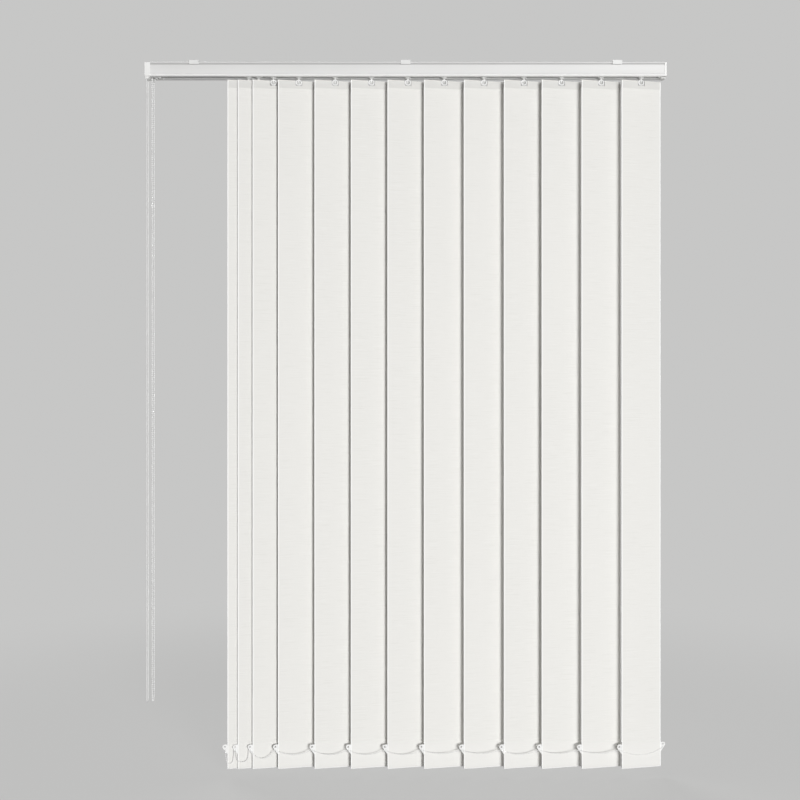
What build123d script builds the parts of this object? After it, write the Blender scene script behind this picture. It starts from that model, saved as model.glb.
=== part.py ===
from build123d import *
import math
import os

# Vertical blind in millimetres. X runs along the headrail, the room side faces -Y and +Z is up.
# The origin is on the top face of the middle fixing clip.

# Headrail
RAIL_LENGTH = 1100.0  # over both end fittings
RAIL_DEPTH = 40.0
RAIL_HEIGHT = 30.0
RAIL_WALL = 1.3
RAIL_SLOT = 14.0  # opening along the underside
BEAD_RADIUS = 2.1  # rounded edges along the top and the bottom
FACE_INSET = 0.4  # front face behind the beads
GROOVE_INSET = 1.4  # clip groove behind the beads
GROOVE_HEIGHT = 4.0
GROOVE_WALL = 1.0
FACE_COVE = 0.5  # how far the middle of the front face is hollowed

# Fixing clips
CLIP_PLATE = 3.0
CLIP_WIDTH = 20.0
CLIP_PITCH = 446.0
CLIP_TAB = 1.3
CLIP_LEDGE = 1.2
CLIP_GAP = 0.2
SCREW_RADIUS = 2.2
SCREW_HEAD_RADIUS = 4.2
SCREW_Y = 8.0

# End fittings
HOUSING_WIDTH = 11.0
HOUSING_DROP = 1.2  # top of the end block below the rail's top
END_PROUD = 0.3
END_FILLET = 1.2
PLUG_LENGTH = 21.0
PLUG_GAP = 0.3
CAP_WIDTH = 3.8
CAP_PLUG = 8.0
FOOT_HEIGHT = 2.0
FOOT_WIDTH = 9.0
LUG_WIDTH = 4.6
FUNNEL_HEIGHT = 4.6
FUNNEL_MOUTH = 5.0
FUNNEL_EDGE = 0.5  # funnel's top inside the end block, at each side
FUNNEL_FLARE = 2.0

# Tilt drive
ROD_RADIUS = 3.0
ROD_Y = 5.0
ROD_DROP = 14.0  # axis below the rail's top
ROD_FLUTES = 3
FLUTE_RADIUS = 0.8
ROD_GAP = 0.3
BEARING_GAP = 0.1
BEARING_WALL = 3.0  # closed end of the housing's bearing
CAP_BEARING_STOP = 1.0  # end of the cap's bearing before the rail's end
ROD_END_GAP = 1.0
CHAIN_DIAMETER = 3.2
CHAIN_PITCH_RADIUS = 10.7
CHAIN_INSET = 13.0  # chain plane from the rail's left end
CHAIN_JOIN = 0.1
WHEEL_BORE_GAP = 0.05
WHEEL_FLANGE = 1.0
WHEEL_FLANGE_LIP = 0.5
WHEEL_SIDE_GAP = 0.3
WHEEL_SEAT_GAP = 0.2
WHEEL_ROOM = 0.4
WHEEL_POCKETS = 15  # one for each bead round the wheel
POCKET_DEPTH = 0.45  # how far a bead's pocket cuts into the groove and the flanges

# Draw cord
CORD_DIAMETER = 2.1
CORD_INSET = 3.0  # loop plane from the rail's left end
CORD_FRONT_Y = -12.5
CORD_SPREAD = 15.0
INNER_CORD_Y = (-9.5, -5.5)
INNER_CORD_DROP = 13.0
CORD_HOLE_GAP = 0.5
LOOP_DROP = 1352.0  # bottom of both control loops below the rail's top

# Trucks
TRUCK_COUNT = 13
LAST_TRUCK_INSET = 50.0  # last truck's middle from the rail's right end
TRUCK_PITCHES = (21.6, 31.4, 53.8, 77.2, 77.0, 77.3, 77.2, 84.4, 84.8, 79.7, 84.4, 84.8)
TRUCK_END_GAP = 1.0  # least room between the lead truck and the housing
TRUCK_LENGTH = 18.8
TRUCK_HALF_DEPTH = 12.3
TRUCK_TOP_DROP = 10.0  # top of the truck below the rail's top
TRUCK_BOTTOM_RISE = 3.7  # underside of the truck above the rail's bottom
WHEEL_RADIUS = 3.5
WHEEL_WIDTH = 2.8
WHEEL_OFFSET = 5.2
WHEEL_GAP = 0.05
AXLE_RADIUS = 1.1
AXLE_LENGTH = 0.4
TRUCK_CORNER = 2.0
CHEEK_WALL = 1.4
HUB_HALF = 6.4  # half of the block round the stem
CHEEK_ROOM = 7.0  # height of the hollows beside the hub

# Spacer strips
LEAD_SPACER_COUNT = 3
LEAD_PITCH_MAX = 72.0
PITCH_MAX = 85.0
LANES = 6
LANE_PITCH = 2.1
STRIP_THICKNESS = 0.6
STRIP_HEIGHT = 3.0
STRIP_RISE = 1.0
STRIP_GAP = 0.15
STRIP_STOP = 2.0
STRIP_STOP_GAP = 0.3
EAR_WIDTH = 1.5
EAR_WALL = 0.5
POST_WIDTH = 4.0

# Stems
STEM_RADIUS = 2.2
STEM_BORE_GAP = 0.3
STEM_HEAD_RADIUS = 3.8
STEM_HEAD = 2.0
STEM_TEETH = 8  # one turn of the rod moves the stem by one tooth
TOOTH_ROOT = 0.5
STEM_HEAD_RISE = 5.0  # underside of the head above the truck's underside
COLLAR_RADIUS = 6.2
COLLAR_THICKNESS = 2.6
COLLAR_CONE = 2.9  # taper from the collar down to the neck
COLLAR_GAP = 0.2
HOOK_WIDTH = 13.4
HOOK_HEIGHT = 12.0
HOOK_BAR = 2.4
HOOK_THICKNESS = 2.2
HOOK_RISE = 2.1  # top of the hook above the louvre
FINGER_WIDTH = 1.8
FINGER_LENGTH = 3.4  # retaining finger, down into the ring
FINGER_THICKNESS = 1.4

# Louvres
LOUVRE_WIDTH = 89.0
LOUVRE_LENGTH = 1458.0
LOUVRE_DROP = 35.6  # top of the louvre below the rail's top
REST_TILT = 13.5
FABRIC = 0.5
POCKET_GAP = 0.1
TOP_POCKET = 17.0
BOTTOM_POCKET = 58.7
POCKET_TAPER = 1.5
HEM = 3.0
NOTCH_WIDTH = 15.0
NOTCH_DEPTH = 10.7

# Hangers
HANGER_SIDE_GAP = 2.0  # strip's ends inside the cloth's edges
HANGER_THICKNESS = 1.0
HANGER_MARGIN = 2.0
TONGUE_WIDTH = 7.0
TONGUE_THICKNESS = 0.8
TONGUE_GAP = 0.2
LIP_WIDTH = 5.2  # narrow enough for the rounded corners of the ring's opening
LIP_HEIGHT = 1.2
BACK_WIDTH = 10.0  # plate that closes the ring from behind

# Bottom weights
WEIGHT_SIDE_GAP = 4.5
WEIGHT_HEIGHT = 46.0
WEIGHT_THICKNESS = 2.0
WEIGHT_MARGIN = 6.4
WEIGHT_CORNER = 3.0
EYE_PAST_EDGE = 5.5  # eye centre past the cloth's edge
EYE_RISE = 47.2  # eye centre above the louvre's bottom
EYE_DISC = 5.0
EYE_HOLE = 1.5
EYE_THICKNESS = 1.6
EYE_ROOT = 5.0  # how far the ear is rooted in the plate
EYE_FOOT = 16.1  # how far the lower edge slants down

# Stabilising chains
LINK_DIAMETER = 2.0
LINK_OFFSET = 2.2  # chain in front of the eyes
LINK_GAP = 0.3
LINK_END = 1.5  # each span stops short of the eye's centre
SAG_BASE = 34.6
SAG_PER_PITCH = 0.33
SAG_MIDDLE = 1.12  # middle corner of a shallow span's route, as a share of its sag
NARROW_PITCH = 45.0
TAIL_SAG = 12.4
TAIL_GAP = 0.3  # clearance of the last span from the cloth

# Places worked out from the sizes above
HALF_LENGTH = RAIL_LENGTH / 2
HALF_DEPTH = RAIL_DEPTH / 2
LAST_TRUCK_X = HALF_LENGTH - LAST_TRUCK_INSET
RAIL_TOP = -CLIP_PLATE
RAIL_BOTTOM = RAIL_TOP - RAIL_HEIGHT
LEDGE_TOP = RAIL_BOTTOM + RAIL_WALL
CAVITY_HALF = HALF_DEPTH - GROOVE_INSET - GROOVE_WALL
RAIL_LEFT = -HALF_LENGTH + HOUSING_WIDTH
RAIL_RIGHT = HALF_LENGTH - CAP_WIDTH
ROD_Z = RAIL_TOP - ROD_DROP
CHAIN_X = -HALF_LENGTH + CHAIN_INSET
CORD_X = -HALF_LENGTH + CORD_INSET
LOOP_Z = RAIL_TOP - LOOP_DROP
TRUCK_TOP = RAIL_TOP - TRUCK_TOP_DROP
TRUCK_BOTTOM = RAIL_BOTTOM + TRUCK_BOTTOM_RISE
LOUVRE_TOP = RAIL_TOP - LOUVRE_DROP
LOUVRE_BOTTOM = LOUVRE_TOP - LOUVRE_LENGTH
HOOK_TOP = LOUVRE_TOP + HOOK_RISE
HANGER_LENGTH = LOUVRE_WIDTH - 2 * HANGER_SIDE_GAP
WEIGHT_LENGTH = LOUVRE_WIDTH - 2 * WEIGHT_SIDE_GAP
EYE_REACH = LOUVRE_WIDTH / 2 + EYE_PAST_EDGE
EYE_Z = LOUVRE_BOTTOM + EYE_RISE
LINK_RADIUS = LINK_DIAMETER / 2
LINK_Z = EYE_Z - EYE_DISC - LINK_GAP - LINK_RADIUS
TAIL_OFFSET = WEIGHT_THICKNESS / 2 + POCKET_GAP + FABRIC + TAIL_GAP + LINK_RADIUS
TILT = math.radians(REST_TILT)
EYE_X = EYE_REACH * math.cos(TILT)
EYE_Y = EYE_REACH * math.sin(TILT)


def box(x0, x1, y0, y1, z0, z1):
    return Pos((x0 + x1) / 2, (y0 + y1) / 2, (z0 + z1) / 2) * Box(x1 - x0, y1 - y0, z1 - z0)


def rod_along_x(radius, x0, x1, y, z):
    return Pos((x0 + x1) / 2, y, z) * Rot(0, 90, 0) * Cylinder(radius, x1 - x0)


def rod_along_y(radius, y0, y1, x, z):
    return Pos(x, (y0 + y1) / 2, z) * Rot(90, 0, 0) * Cylinder(radius, y1 - y0)


def disc(radius, z0, z1, x=0.0, y=0.0):
    return Pos(x, y, (z0 + z1) / 2) * Cylinder(radius, z1 - z0)


def along_x(sketch, x0, x1):
    """A section drawn in Y and Z, drawn out from x0 to x1."""
    return extrude(Plane.YZ.offset(x0) * sketch, x1 - x0)


def tube(points, radii, diameter):
    """A round tube along straight runs joined by tangent arcs."""
    path = FilletPolyline(*points, radius=radii)
    section = Plane(origin=path @ 0, z_dir=path % 0) * Circle(diameter / 2)
    return sweep(section, path=path)


def bend_radii(points, share=0.45):
    """The largest tangent arc at each corner of a route."""
    radii = []
    for before, corner, after in zip(points, points[1:], points[2:]):
        run_in = Vector(*corner) - Vector(*before)
        run_out = Vector(*after) - Vector(*corner)
        turn = math.radians(run_in.get_angle(run_out))
        radii.append(share * min(run_in.length, run_out.length) / math.tan(turn / 2))
    return radii


def rail_section():
    outer = Rectangle(RAIL_DEPTH - 2 * GROOVE_INSET, RAIL_HEIGHT)
    for side in (-1, 1):
        bead_y = side * (HALF_DEPTH - BEAD_RADIUS)
        for bead_z in (RAIL_HEIGHT / 2 - BEAD_RADIUS, -RAIL_HEIGHT / 2 + BEAD_RADIUS):
            outer += Pos(bead_y, bead_z) * Circle(BEAD_RADIUS)
        face_y = side * (HALF_DEPTH - FACE_INSET)
        face_top = RAIL_HEIGHT / 2 - 2 * BEAD_RADIUS - GROOVE_HEIGHT
        face_bottom = -RAIL_HEIGHT / 2 + 2 * BEAD_RADIUS
        middle = (face_y - side * FACE_COVE, (face_top + face_bottom) / 2)
        curve = ThreePointArc((face_y, face_top), middle, (face_y, face_bottom))
        inner_y = side * CAVITY_HALF
        closing = Polyline(curve @ 1, (inner_y, face_bottom), (inner_y, face_top), curve @ 0)
        outer += make_face(curve + closing)
    cavity = Rectangle(2 * CAVITY_HALF, RAIL_HEIGHT - 2 * RAIL_WALL)
    slot = Pos(0, -RAIL_HEIGHT / 2) * Rectangle(RAIL_SLOT, 4 * RAIL_WALL)
    return Pos(0, RAIL_TOP - RAIL_HEIGHT / 2) * (outer - cavity - slot)


def headrail():
    rail = along_x(rail_section(), RAIL_LEFT, RAIL_RIGHT)
    way_out = CHAIN_PITCH_RADIUS + CHAIN_DIAMETER / 2 + WHEEL_ROOM
    notch = box(
        RAIL_LEFT - 1,
        CHAIN_X + CHAIN_DIAMETER / 2 + WHEEL_FLANGE + WHEEL_SIDE_GAP + 1,
        ROD_Y - way_out,
        CAVITY_HALF,
        RAIL_BOTTOM - 1,
        LEDGE_TOP + 0.5,
    )
    return rail - notch


def fixing_clip(x):
    """A plate with a hooked tab front and back, which snaps over the rail's top beads."""
    half = HALF_DEPTH + CLIP_GAP + CLIP_TAB
    tab_bottom = RAIL_TOP - 2 * BEAD_RADIUS - CLIP_GAP - CLIP_LEDGE
    section = Pos(0, -CLIP_PLATE / 2) * Rectangle(2 * half, CLIP_PLATE)
    for side in (-1, 1):
        tab_y = side * (half - CLIP_TAB / 2)
        section += Pos(tab_y, tab_bottom / 2) * Rectangle(CLIP_TAB, -tab_bottom)
        ledge = CLIP_TAB + CLIP_GAP + GROOVE_INSET - CLIP_GAP
        ledge_y = side * (half - ledge / 2)
        section += Pos(ledge_y, tab_bottom + CLIP_LEDGE / 2) * Rectangle(ledge, CLIP_LEDGE)
    clip = along_x(section, x - CLIP_WIDTH / 2, x + CLIP_WIDTH / 2)
    clip -= disc(SCREW_RADIUS, -CLIP_PLATE - 1, 1, x, SCREW_Y)
    sink = SCREW_HEAD_RADIUS - SCREW_RADIUS
    head = Cone(SCREW_HEAD_RADIUS, SCREW_RADIUS, sink)
    return clip - Pos(x, SCREW_Y, -CLIP_PLATE + sink / 2) * head


def end_block(x0, x1):
    """The outer block of an end fitting, a little proud of the rail, with rounded edges."""
    depth = RAIL_DEPTH + 2 * END_PROUD
    top = RAIL_TOP - HOUSING_DROP
    bottom = RAIL_BOTTOM - END_PROUD
    block = box(x0, x1, -depth / 2, depth / 2, bottom, top)
    return fillet(block.edges().filter_by(Axis.X), END_FILLET)


def end_plug(x0, x1):
    half = CAVITY_HALF - PLUG_GAP
    return box(x0, x1, -half, half, LEDGE_TOP + PLUG_GAP, RAIL_TOP - RAIL_WALL - PLUG_GAP)


def cord_funnel():
    top = RAIL_BOTTOM - END_PROUD
    middle_y = CORD_FRONT_Y + CORD_SPREAD / 2
    long_side = CORD_SPREAD + 3 * CORD_DIAMETER
    wide = Plane.XY.offset(top) * Pos(-HALF_LENGTH + HOUSING_WIDTH / 2, middle_y)
    wide *= Rectangle(HOUSING_WIDTH - 2 * FUNNEL_EDGE, long_side + 2 * FUNNEL_FLARE)
    mouth_x = CORD_X + FUNNEL_MOUTH / 2 - CORD_DIAMETER
    narrow = Plane.XY.offset(top - FUNNEL_HEIGHT) * Pos(mouth_x, middle_y)
    return loft([wide, narrow * Rectangle(FUNNEL_MOUTH, long_side)])


def control_housing():
    body = end_block(-HALF_LENGTH, RAIL_LEFT) + end_plug(RAIL_LEFT, RAIL_LEFT + PLUG_LENGTH) + cord_funnel()
    lug_x = RAIL_LEFT + PLUG_LENGTH - LUG_WIDTH
    lug_half = RAIL_SLOT / 2 - PLUG_GAP
    body += box(lug_x, lug_x + LUG_WIDTH, -lug_half, lug_half, RAIL_BOTTOM - FOOT_HEIGHT, LEDGE_TOP + 1)
    half = CHAIN_DIAMETER / 2 + WHEEL_FLANGE + WHEEL_SIDE_GAP + WHEEL_SEAT_GAP
    room = CHAIN_PITCH_RADIUS + CHAIN_DIAMETER / 2 + WHEEL_ROOM
    body -= rod_along_x(room, CHAIN_X - half, CHAIN_X + half, ROD_Y, ROD_Z)
    body -= box(CHAIN_X - half, CHAIN_X + half, ROD_Y - room, ROD_Y + room, RAIL_BOTTOM - 1, ROD_Z)
    bearing_end = -HALF_LENGTH + BEARING_WALL
    return body - rod_along_x(ROD_RADIUS + BEARING_GAP, bearing_end, 0, ROD_Y, ROD_Z)


def return_cap():
    body = end_block(RAIL_RIGHT, HALF_LENGTH) + end_plug(RAIL_RIGHT - CAP_PLUG, RAIL_RIGHT)
    foot_half = RAIL_SLOT / 2 - PLUG_GAP
    foot_left = HALF_LENGTH - FOOT_WIDTH
    body += box(foot_left, HALF_LENGTH, -foot_half, foot_half, RAIL_BOTTOM - FOOT_HEIGHT, LEDGE_TOP + 1)
    bearing_end = RAIL_RIGHT - CAP_BEARING_STOP
    return body - rod_along_x(ROD_RADIUS + BEARING_GAP, 0, bearing_end, ROD_Y, ROD_Z)


def tilt_rod():
    section = Circle(ROD_RADIUS)
    for flute in range(ROD_FLUTES):
        section -= Rot(0, 0, 360 / ROD_FLUTES * flute) * Pos(ROD_RADIUS, 0) * Circle(FLUTE_RADIUS)
    left = -HALF_LENGTH + BEARING_WALL + ROD_END_GAP
    right = RAIL_RIGHT - CAP_BEARING_STOP - ROD_END_GAP
    return along_x(Pos(ROD_Y, ROD_Z) * section, left, right)


def chain_wheel():
    groove = CHAIN_PITCH_RADIUS - CHAIN_DIAMETER / 2 - WHEEL_SEAT_GAP
    rim = CHAIN_PITCH_RADIUS + WHEEL_FLANGE_LIP
    half = CHAIN_DIAMETER / 2 + WHEEL_SIDE_GAP
    wheel = rod_along_x(groove, CHAIN_X - half, CHAIN_X + half, ROD_Y, ROD_Z)
    for side in (-1, 1):
        ends = sorted((CHAIN_X + side * half, CHAIN_X + side * (half + WHEEL_FLANGE)))
        wheel += rod_along_x(rim, *ends, ROD_Y, ROD_Z)
    pocket_radius = CHAIN_DIAMETER / 2 + WHEEL_SIDE_GAP + POCKET_DEPTH
    for pocket in range(WHEEL_POCKETS):
        turn = Rot(360 / WHEEL_POCKETS * pocket, 0, 0) * Pos(0, 0, CHAIN_PITCH_RADIUS)
        wheel -= Pos(CHAIN_X, ROD_Y, ROD_Z) * turn * Sphere(pocket_radius)
    through = half + 2 * WHEEL_FLANGE
    bore = ROD_RADIUS + WHEEL_BORE_GAP
    return wheel - rod_along_x(bore, CHAIN_X - through, CHAIN_X + through, ROD_Y, ROD_Z)


def control_chain():
    front = ROD_Y - CHAIN_PITCH_RADIUS
    back = ROD_Y + CHAIN_PITCH_RADIUS
    top = ROD_Z + CHAIN_PITCH_RADIUS
    route = [
        (CHAIN_X, ROD_Y - CHAIN_JOIN / 2, top),
        (CHAIN_X, front, top),
        (CHAIN_X, front, LOOP_Z),
        (CHAIN_X, back, LOOP_Z),
        (CHAIN_X, back, top),
        (CHAIN_X, ROD_Y + CHAIN_JOIN / 2, top),
    ]
    round_wheel = CHAIN_PITCH_RADIUS - CHAIN_JOIN
    hanging = bend_radii(route)[1]
    radii = [round_wheel, hanging, hanging, round_wheel]
    print("control_chain radii", [round(r, 2) for r in radii])
    return tube(route, radii, CHAIN_DIAMETER)


def draw_cord():
    """The hanging loop, and the two strands inside the rail."""
    outlet = RAIL_BOTTOM - END_PROUD - FUNNEL_HEIGHT
    back = CORD_FRONT_Y + CORD_SPREAD
    route = [
        (CORD_X, CORD_FRONT_Y, outlet),
        (CORD_X, CORD_FRONT_Y, LOOP_Z),
        (CORD_X, back, LOOP_Z),
        (CORD_X, back, outlet),
    ]
    radii = bend_radii(route)
    print("draw_cord radii", [round(r, 2) for r in radii])
    strands = [tube(route, radii, CORD_DIAMETER)]
    for y in INNER_CORD_Y:
        start = RAIL_LEFT + PLUG_LENGTH
        stop = RAIL_RIGHT - CAP_PLUG
        strands.append(rod_along_x(CORD_DIAMETER / 2, start, stop, y, RAIL_TOP - INNER_CORD_DROP))
    return strands


def lane_y(number):
    return (number % LANES - (LANES - 1) / 2) * LANE_PITCH


def pitch_limit(number):
    """The longest pitch between this truck and the one before it."""
    return LEAD_PITCH_MAX if number <= LEAD_SPACER_COUNT + 1 else PITCH_MAX


def spacer_strip(number):
    """A strip that reaches over the truck before it and stops that truck at the longest pitch."""
    y = lane_y(number)
    z0 = TRUCK_TOP + STRIP_RISE
    z1 = z0 + STRIP_HEIGHT
    half = STRIP_THICKNESS / 2
    stop_x = -pitch_limit(number) - EAR_WIDTH / 2 - STRIP_STOP_GAP
    strip = box(stop_x - STRIP_STOP, POST_WIDTH / 2, y - half, y + half, z0, z1)
    tab = half + STRIP_GAP + EAR_WALL
    strip += box(stop_x - STRIP_STOP, stop_x, y - tab, y + tab, z0, z1)
    return strip + box(-POST_WIDTH / 2, POST_WIDTH / 2, y - half, y + half, TRUCK_TOP - 0.5, z1)


def spacer_ear(number):
    """The loop on a truck that the next truck's strip slides through."""
    y = lane_y(number + 1)
    hole_half = STRIP_THICKNESS / 2 + STRIP_GAP
    half = hole_half + EAR_WALL
    z0 = TRUCK_TOP + STRIP_RISE - STRIP_GAP
    z1 = TRUCK_TOP + STRIP_RISE + STRIP_HEIGHT + STRIP_GAP
    ear = box(-EAR_WIDTH / 2, EAR_WIDTH / 2, y - half, y + half, TRUCK_TOP - 0.5, z1 + EAR_WALL)
    return ear - box(-EAR_WIDTH, EAR_WIDTH, y - hole_half, y + hole_half, z0, z1)


def truck(number, x):
    half = TRUCK_LENGTH / 2
    plan = RectangleRounded(TRUCK_LENGTH, 2 * TRUCK_HALF_DEPTH, TRUCK_CORNER)
    body = extrude(Plane.XY.offset(TRUCK_BOTTOM) * plan, TRUCK_TOP - TRUCK_BOTTOM)
    room_top = TRUCK_BOTTOM + CHEEK_ROOM
    for side in (-1, 1):
        hollow = sorted((side * HUB_HALF, side * (TRUCK_HALF_DEPTH - CHEEK_WALL)))
        body -= box(-half - 1, half + 1, *hollow, TRUCK_BOTTOM - 1, room_top)
    axle_z = LEDGE_TOP + WHEEL_RADIUS + WHEEL_GAP
    for side in (-1, 1):
        for wheel_x in (-WHEEL_OFFSET, WHEEL_OFFSET):
            inner = side * (TRUCK_HALF_DEPTH + AXLE_LENGTH)
            outer = inner + side * WHEEL_WIDTH
            body += rod_along_y(WHEEL_RADIUS, *sorted((inner, outer)), wheel_x, axle_z)
            root = side * (TRUCK_HALF_DEPTH - 1)
            body += rod_along_y(AXLE_RADIUS, *sorted((root, outer)), wheel_x, axle_z)
    if number > 1:
        body += spacer_strip(number)
    if number < TRUCK_COUNT:
        body += spacer_ear(number)
    head_z = TRUCK_BOTTOM + STEM_HEAD_RISE
    body -= disc(STEM_RADIUS + STEM_BORE_GAP, TRUCK_BOTTOM - 1, head_z + 1)
    body -= disc(STEM_HEAD_RADIUS + STEM_BORE_GAP, head_z - COLLAR_GAP, head_z + STEM_HEAD + COLLAR_GAP)
    body -= rod_along_x(ROD_RADIUS + ROD_GAP, -half - 1, half + 1, ROD_Y, ROD_Z)
    cord_z = RAIL_TOP - INNER_CORD_DROP
    for y in INNER_CORD_Y:
        body -= rod_along_x(CORD_DIAMETER / 2 + CORD_HOLE_GAP, -half - 1, half + 1, y, cord_z)
    return Pos(x, 0, 0) * body


def stem():
    """The turning hook: toothed head in the truck, collar, neck, and a ring with a retaining finger."""
    collar_top = TRUCK_BOTTOM - COLLAR_GAP
    head_z = TRUCK_BOTTOM + STEM_HEAD_RISE
    solid = disc(STEM_HEAD_RADIUS, head_z, head_z + STEM_HEAD)
    for tooth in range(STEM_TEETH):
        gap = disc(TOOTH_ROOT, head_z - 1, head_z + STEM_HEAD + 1, STEM_HEAD_RADIUS)
        solid -= Rot(0, 0, 360 / STEM_TEETH * tooth) * gap
    solid += disc(STEM_RADIUS, HOOK_TOP - HOOK_BAR / 2, head_z + 0.5)
    solid += disc(COLLAR_RADIUS, collar_top - COLLAR_THICKNESS, collar_top)
    taper = Rot(180, 0, 0) * Cone(COLLAR_RADIUS, STEM_RADIUS, COLLAR_CONE)
    solid += Pos(0, 0, collar_top - COLLAR_THICKNESS - COLLAR_CONE / 2) * taper
    corner = HOOK_WIDTH / 3
    ring = RectangleRounded(HOOK_WIDTH, HOOK_HEIGHT, corner)
    opening_width = HOOK_WIDTH - 2 * HOOK_BAR
    opening_height = HOOK_HEIGHT - 2 * HOOK_BAR
    ring -= RectangleRounded(opening_width, opening_height, corner - HOOK_BAR)
    place = Plane.XZ.offset(-HOOK_THICKNESS / 2) * Pos(0, HOOK_TOP - HOOK_HEIGHT / 2)
    solid += extrude(place * ring, HOOK_THICKNESS)
    half = FINGER_WIDTH / 2
    depth = FINGER_THICKNESS / 2
    root = HOOK_TOP - HOOK_BAR
    return solid + box(-half, half, -depth, depth, root - FINGER_LENGTH, root + 1)


def hanger():
    """The strip in the top pocket, with a tongue hooked through the stem's ring and a plate behind it."""
    half = HANGER_THICKNESS / 2
    top = LOUVRE_TOP - HANGER_MARGIN
    bottom = LOUVRE_TOP - TOP_POCKET + POCKET_TAPER + POCKET_GAP
    strip = box(-HANGER_LENGTH / 2, HANGER_LENGTH / 2, -half, half, bottom, top)
    ring_bottom = HOOK_TOP - HOOK_HEIGHT
    notch_half = NOTCH_WIDTH / 2
    strip -= box(-notch_half, notch_half, -half - 1, half + 1, ring_bottom - TONGUE_GAP, top + 1)
    back = HOOK_THICKNESS / 2 + TONGUE_GAP
    lip_z = ring_bottom + HOOK_BAR + TONGUE_GAP
    reach = TONGUE_WIDTH / 2
    foot_z = ring_bottom - TONGUE_GAP
    notch_z = LOUVRE_TOP - NOTCH_DEPTH + TONGUE_GAP
    wide = BACK_WIDTH / 2
    tongue = box(-wide, wide, back, back + TONGUE_THICKNESS, notch_z, HOOK_TOP - HOOK_BAR)
    tongue += box(-reach, reach, -half, back + TONGUE_THICKNESS, notch_z, foot_z)
    narrow = LIP_WIDTH / 2
    front = -HOOK_THICKNESS / 2
    lip = box(-narrow, narrow, front, back + TONGUE_THICKNESS, lip_z, lip_z + LIP_HEIGHT)
    return strip + tongue + lip


def louvre_fabric():
    """Cloth with a sewn pocket at the top and the bottom, cut away round the stem's ring."""
    thin = FABRIC / 2
    top_half = HANGER_THICKNESS / 2 + POCKET_GAP + FABRIC
    low_half = WEIGHT_THICKNESS / 2 + POCKET_GAP + FABRIC
    top_line = LOUVRE_TOP - TOP_POCKET
    low_line = LOUVRE_BOTTOM + BOTTOM_POCKET
    right_side = [
        (top_half, LOUVRE_TOP),
        (top_half, top_line + POCKET_TAPER),
        (thin, top_line),
        (thin, low_line),
        (low_half, low_line - POCKET_TAPER),
        (low_half, LOUVRE_BOTTOM + HEM),
        (thin, LOUVRE_BOTTOM),
    ]
    left_side = [(-y, z) for y, z in reversed(right_side)]
    section = make_face(Polyline(*right_side, *left_side, close=True))
    hollow_top = LOUVRE_TOP - FABRIC
    hollow_bottom = top_line + POCKET_TAPER
    upper = Rectangle(2 * (top_half - FABRIC), hollow_top - hollow_bottom)
    section -= Pos(0, (hollow_top + hollow_bottom) / 2) * upper
    weight_bottom = LOUVRE_BOTTOM + WEIGHT_MARGIN - 2 * POCKET_GAP
    weight_top = weight_bottom + WEIGHT_HEIGHT + 4 * POCKET_GAP
    lower = Rectangle(2 * (low_half - FABRIC), weight_top - weight_bottom)
    section -= Pos(0, (weight_top + weight_bottom) / 2) * lower
    cloth = along_x(section, -LOUVRE_WIDTH / 2, LOUVRE_WIDTH / 2)
    notch_half = NOTCH_WIDTH / 2
    return cloth - box(-notch_half, notch_half, -5, 5, LOUVRE_TOP - NOTCH_DEPTH, LOUVRE_TOP + 1)


def bottom_weight():
    """The plate in the bottom pocket, with an eye for the chain past each edge of the cloth."""
    low = LOUVRE_BOTTOM + WEIGHT_MARGIN
    half = WEIGHT_LENGTH / 2
    plate = Pos(0, low + WEIGHT_HEIGHT / 2) * RectangleRounded(WEIGHT_LENGTH, WEIGHT_HEIGHT, WEIGHT_CORNER)
    place = Plane.XZ.offset(-WEIGHT_THICKNESS / 2)
    solid = extrude(place * plate, WEIGHT_THICKNESS)
    for side in (-1, 1):
        ear = Pos(side * EYE_REACH, EYE_Z) * Circle(EYE_DISC)
        outline = [
            (side * EYE_REACH, EYE_Z + EYE_DISC),
            (side * (half - EYE_ROOT), EYE_Z + EYE_DISC),
            (side * (half - EYE_ROOT), EYE_Z - EYE_FOOT),
            (side * LOUVRE_WIDTH / 2, EYE_Z - EYE_FOOT),
            (side * EYE_REACH, EYE_Z - EYE_DISC),
        ]
        ear += make_face(Polyline(*outline, close=True))
        ear -= Pos(side * EYE_REACH, EYE_Z) * Circle(EYE_HOLE)
        solid += extrude(Plane.XZ.offset(-EYE_THICKNESS / 2) * ear, EYE_THICKNESS)
    return solid


def chain_route(pitch, sag):
    """Corners of a hanging span: a shallow sag, or a narrow loop where two louvres are close."""
    if pitch < NARROW_PITCH:
        shares = [(0.0, 0.0), (0.04, 0.6), (0.2, 1.02)]
    else:
        shares = [(0.0, 0.0), (0.18, 0.75)]
    left = [(across * pitch, -down * sag) for across, down in shares]
    right = [(pitch - x, z) for x, z in reversed(left)]
    middle = [] if pitch < NARROW_PITCH else [(pitch / 2, -SAG_MIDDLE * sag)]
    return left + middle + right


def chain_span(x0, x1, y, name):
    sag = SAG_BASE - SAG_PER_PITCH * (x1 - x0)
    route = chain_route(x1 - x0 - 2 * LINK_END, sag)
    points = [(x0 + LINK_END + x, y, LINK_Z + z) for x, z in route]
    radii = bend_radii(points)
    print(name, "radii", [round(r, 1) for r in radii])
    return tube(points, radii, LINK_DIAMETER)


def chain_tail():
    """The last span of the front chain, across the face of the last louvre."""
    half = EYE_REACH - LINK_END
    route = chain_route(2 * half, TAIL_SAG)
    points = [(x - half, -TAIL_OFFSET, LINK_Z + z) for x, z in route]
    return tube(points, bend_radii(points), LINK_DIAMETER)


def chain_end(x, y):
    return Pos(x, y, LINK_Z) * Sphere(LINK_RADIUS)


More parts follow.
